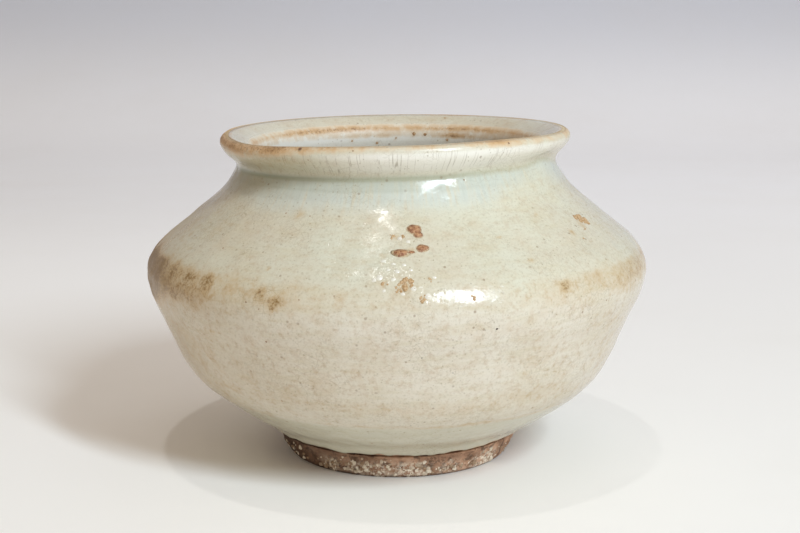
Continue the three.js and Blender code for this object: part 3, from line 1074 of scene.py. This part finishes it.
def lumps(name, marks, material, random):
    """One object of many lumps, with how near each point is to its lump's edge, how black and how pale."""
    points, faces, layers = [], [], []
    count = 0
    for spot, width, height, turn, rise, black, pale in marks:
        more, more_faces, rim = lump(*spot, width, height, turn, min(rise, LUMP_STEEPNESS * height), random)
        points.append(more)
        faces += [tuple(corner + count for corner in face) for face in more_faces]
        layers.append([(near, black, pale) for near in rim])
        count += len(more)
    made = mesh_object(name, warp(np.vstack(points)), faces, material)
    return made, np.vstack(layers).T


def cluster(pixel_x, pixel_y, width, height, turn, random):
    """An ochre patch as a cluster of small grains within an ellipse: their places and sizes."""
    place, round_way, up_way, out_way = on_jar(pixel_x, pixel_y)
    long_way, short_way = turned_ways(turn, round_way, up_way)
    grains = []
    for _ in range(max(2, round(width * height / GRAIN_AREA))):
        angle, reach = random.uniform(0, 2 * math.pi), 0.42 * math.sqrt(random.random())
        offset = long_way * (width * reach * math.cos(angle)) + short_way * (height * reach * math.sin(angle))
        size = 0.5 + min(height, width) * random.uniform(0.1, 0.34)
        spot = (place + offset, round_way, up_way, out_way)
        grains.append((spot, size * 1.2, size, random.uniform(0, 180)))
    return grains


def iron_spots(material):
    """Raised iron blisters, ochre grains and small dark specks on the outer glaze and the lining."""
    random = np.random.default_rng(LUMP_SEED)
    marks = [(on_jar(*mark[:2]), *mark[2:], BLISTER_RISE, 0.0, 0.0) for mark in IRON_BLISTERS.values()]
    for mark in OCHRE_BLISTERS.values():
        marks += [(*grain, OCHRE_RISE, 0.0, 0.85) for grain in cluster(*mark, random)]
    dots = ((PINHOLES, False, 0.95, 0.0), (SPECKS, False, 0.35, 0.0), (LINING_SPECKS, True, 0.0, 0.55))
    for specks, lining, black, pale in dots:
        for x, y, size in specks.values():
            spot = on_jar(x, y, lining)
            marks.append((spot, size, size * SPECK_FLATNESS, 0, SPECK_RISE, black, pale))
    made, (rim, black, pale) = lumps("iron_spots", marks, material, random)
    paint(made, rim=rim, black=black, pale=pale)
    return made


def glaze_beads(material):
    """Small glassy beads where the glaze boiled about the blisters."""
    random = np.random.default_rng(BEAD_SEED)
    marks = []
    for x, y, size in GLAZE_BEADS:
        marks.append((on_jar(x, y), size, size * 0.8, random.uniform(-20, 20), BEAD_RISE, 0.0, 0.0))
    made = lumps("glaze_beads", marks, material, random)[0]
    # Painted highlight: the beads are paled to stand for their glints.
    paint(made, clean=0.5)
    return made


GRIT_COUNT = 440
GRIT_SMALL = 0.22
GRIT_LARGE = 1.2


def kiln_grit(material):
    """Sand grains fused to the foot, thickest low down and about the crusts."""
    random = np.random.default_rng(GRIT_SEED)
    ball = bmesh.new()
    bmesh.ops.create_icosphere(ball, subdivisions=2, radius=1)
    ball_points = np.array([vertex.co for vertex in ball.verts])
    ball_faces = [[vertex.index for vertex in face.verts] for face in ball.faces]
    ball.free()
    points, faces, shades = [], [], []
    for i in range(GRIT_COUNT):
        crowded = random.random() < 0.6
        middle, reach, _ = CRUSTS[random.integers(len(CRUSTS))]
        bearing = math.radians(random.normal(middle, reach) if crowded else random.uniform(-180, 180))
        rise = FOOT_BEVEL + 0.5 + (FOOT_HEIGHT - 2) * random.beta(1.0, 1.9)
        share = (rise - FOOT_BEVEL) / (FOOT_HEIGHT - FOOT_BEVEL)
        size = GRIT_SMALL + (GRIT_LARGE - GRIT_SMALL) * random.beta(1.0, 2.6 if crowded else 3.6)
        radius = FOOT_RADIUS + (FOOT_JOIN_RADIUS - FOOT_RADIUS) * share - 0.6 * size
        stretch = random.uniform(0.7, 1.3, 3) * size
        jitter = 1 + 0.22 * random.normal(size=(len(ball_points), 1)).clip(-1.2, 1.2)
        place = np.array((radius * math.sin(bearing), -radius * math.cos(bearing), rise))
        points.append(ball_points * jitter * stretch + place)
        faces += [[corner + i * len(ball_points) for corner in face] for face in ball_faces]
        shades.append(np.full(len(ball_points), random.random()))
    grains = np.vstack(points)
    grains[:, 2] = np.maximum(grains[:, 2], 0.02)
    made = mesh_object("kiln_grit", warp(grains), faces, material)
    paint(made, shade=np.concatenate(shades))
    return made


def build_jar():
    """Makes every piece, listed with the node that it stands for and the slot of its finish, hangs it on the
    root body and hides that node.
    """
    foot_clay = clay_material("foot_clay", "#e0bba0", "#cba082", "#9a745a", "#4a3424")
    lip_clay = clay_material("lip_clay", "#ded3ba", "#dac9a8", "#ceb48c", "#9c7a4c")
    glaze = glaze_material()
    pieces = (
        (foot_ring(foot_clay), "foot_ring", "bare_clay"),
        (lower_bowl(foot_clay), "lower_bowl", "bare_clay"),
        (joint_slip(foot_clay), "joint_slip", "bare_clay"),
        (upper_bowl(foot_clay), "upper_bowl", "bare_clay"),
        (mouth_rim(lip_clay), "mouth_rim", "bare_clay"),
        (outer_glaze(glaze), "outer_glaze", "glaze"),
        (inner_glaze(glaze), "inner_glaze", "glaze"),
        (iron_spots(iron_material()), None, "glaze"),
        (glaze_beads(glaze), None, "glaze"),
        (kiln_grit(grit_material()), None, "bare_clay"),
    )
    for piece, node, slot in pieces:
        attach(piece, "root")
        if node:
            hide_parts(node)


# Studio, in metres
SWEEP_HALF_WIDTH = 2.2
SWEEP_FRONT = -2.2
SWEEP_START = 0.85
SWEEP_ROUND = 0.6
SWEEP_TOP = 1.8
AMBIENT = 0.437
JAR_MIDDLE = Vector((0, 0, LIP_Z / 2 * MM))


def paper_sweep():
    """The floor, which curves up into a backdrop behind the jar."""
    bend = [
        (SWEEP_START + SWEEP_ROUND * math.sin(a), SWEEP_ROUND * (1 - math.cos(a)))
        for a in np.linspace(0, math.pi / 2, 24)
    ]
    profile = [(SWEEP_FRONT, 0), *bend, (SWEEP_START + SWEEP_ROUND, SWEEP_TOP)]
    points = [(side * SWEEP_HALF_WIDTH / MM, y / MM, z / MM) for y, z in profile for side in (-1, 1)]
    faces = [(2 * i, 2 * i + 1, 2 * i + 3, 2 * i + 2) for i in range(len(profile) - 1)]
    mesh_object("paper_sweep", points, faces, paper_material())


def around(bearing, elevation, distance):
    """A place about the jar's middle. Bearing 0 is the camera's side, 90 the right."""
    turn_angle, rise = math.radians(bearing), math.radians(elevation)
    level = distance * math.cos(rise)
    offset = (level * math.sin(turn_angle), -level * math.cos(turn_angle), distance * math.sin(rise))
    return JAR_MIDDLE + Vector(offset)


def softbox(name, width, height):
    light = bpy.data.lights.new(name, "AREA")
    light.shape = "RECTANGLE"
    light.size = width
    light.size_y = height
    return light


def spotlight(name, radius, cone):
    light = bpy.data.lights.new(name, "SPOT")
    light.shadow_soft_size = radius
    light.spot_size = math.radians(cone)
    light.spot_blend = 1
    return light


def hang(light, place, aim, watts, tint):
    """Puts a light at a place, aimed at a point."""
    light.energy = watts
    light.color = colour(tint)[:3]
    made = add(light.name, light)
    made.location = place
    made.rotation_euler = (Vector(aim) - Vector(place)).to_track_quat("-Z", "Y").to_euler()


def studio():
    paper_sweep()
    hang(softbox("key_softbox", 0.11, 0.45), around(36, 36, 1.2), JAR_MIDDLE, 11.6, "#dff0ff")
    hang(softbox("front_lamp", 0.08, 0.05), around(27, 40, 1.2), JAR_MIDDLE, 0.35, "#ffffff")
    hang(spotlight("overhead_spot", 0.03, 34), around(-34, 81.5, 1.66), (-0.25, 0.05, 0), 10, "#ffffff")
    hang(softbox("backdrop_lamp", 0.5, 0.5), (0.3, 0.35, 1.0), (0.3, 1.24, 0.6), 3.4, "#f2f6ff")
    world = bpy.data.worlds.new("studio_air")
    world.use_nodes = True
    background = world.node_tree.nodes["Background"]
    background.inputs["Color"].default_value = colour("#ffeedc")
    background.inputs["Strength"].default_value = AMBIENT
    bpy.context.scene.world = world


def camera():
    data = bpy.data.cameras.new("camera")
    data.lens = CAMERA_LENS
    data.sensor_width = SENSOR_WIDTH
    data.clip_start = 0.01
    made = add("camera", data)
    made.location = CAMERA_PLACE
    made.rotation_euler = (CAMERA_TILT, 0, 0)
    bpy.context.scene.camera = made


camera()
build_jar()
studio()
bpy.context.scene.view_settings.view_transform = "Standard"
